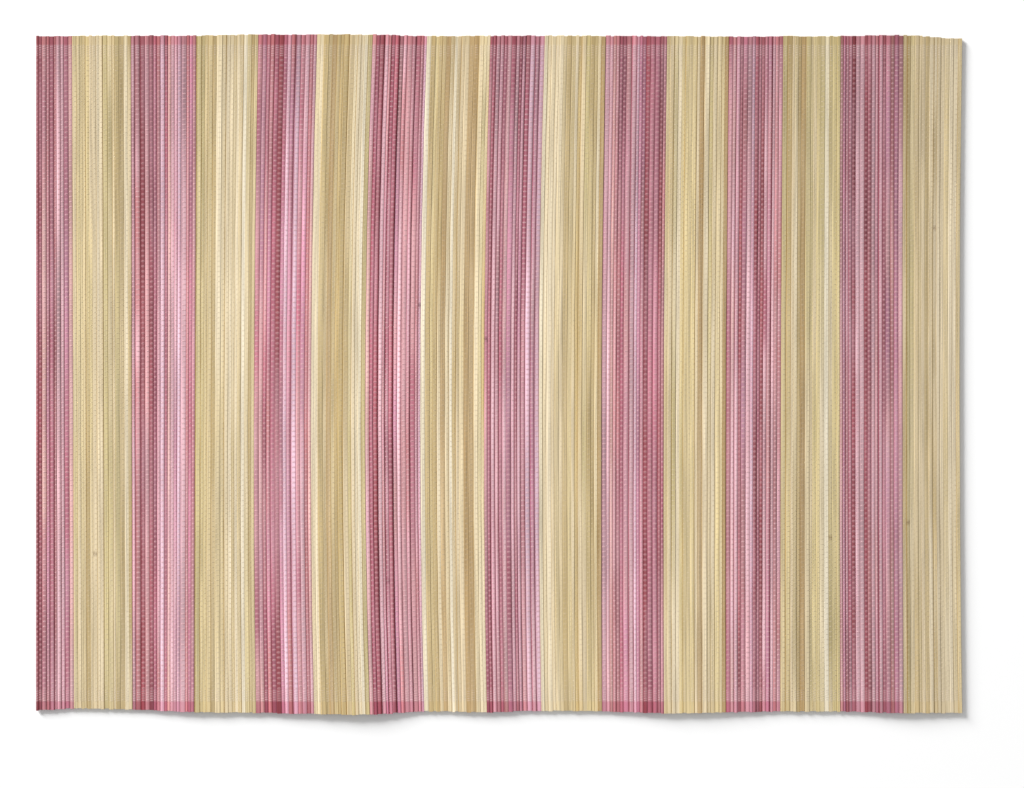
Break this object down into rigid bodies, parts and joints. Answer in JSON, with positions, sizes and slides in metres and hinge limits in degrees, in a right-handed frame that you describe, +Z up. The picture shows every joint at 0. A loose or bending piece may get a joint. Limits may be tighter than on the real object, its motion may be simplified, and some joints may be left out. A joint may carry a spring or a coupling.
{
  "type": "bamboo placemat",
  "caption": "Rectangular placemat of narrow bamboo splints woven with fine thread, in alternating rose and natural stripes, lying flat with slight waves.",
  "frame": {"origin": "on the surface that the mat lies on, under the middle of the mat", "axes": "+X across the stripes from the first rose stripe to the last natural one, +Y along the splints, +Z up out of the table"},
  "size_m": [0.45, 0.3308, 0.003],
  "materials": {
    "natural_bamboo": "natural bamboo splints, satin",
    "rose_bamboo": "bamboo splints dyed rose, satin",
    "warp_thread": "fine pale cotton thread, matt"
  },
  "bodies": {
    "root": {"mat": "natural_bamboo"}
  },
  "joints": []
}
